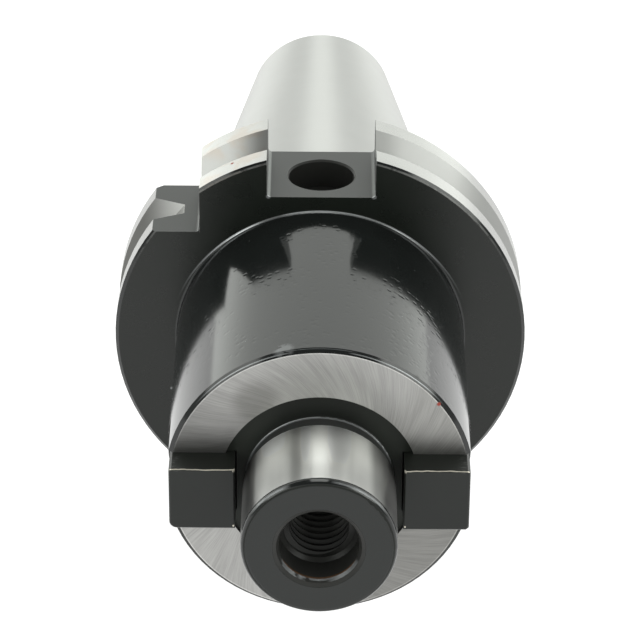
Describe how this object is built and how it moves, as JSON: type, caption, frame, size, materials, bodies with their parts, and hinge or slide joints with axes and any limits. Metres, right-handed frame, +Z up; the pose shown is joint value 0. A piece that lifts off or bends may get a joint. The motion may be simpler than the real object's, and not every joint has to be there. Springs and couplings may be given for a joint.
{
  "type": "face mill arbor",
  "caption": "Steep taper face mill arbor with a slotted flange, round neck, drive keys on the contact face and a ground pilot with a threaded hole.",
  "frame": {"origin": "centre of the taper's gauge plane, on the arbor's axis", "axes": "-Y along the axis towards the pilot, +Y towards the small end of the taper, +Z up towards the drive slot that has the chip pocket"},
  "size_m": [0.0636, 0.1454, 0.0614],
  "materials": {
    "arbor_steel": "black oxide with ground working faces",
    "key_steel": "black oxide, worn bright on the front edges"
  },
  "bodies": {
    "root": {"arbor_body": "arbor_steel", "drive_key_left": "key_steel", "drive_key_right": "key_steel"}
  },
  "joints": []
}
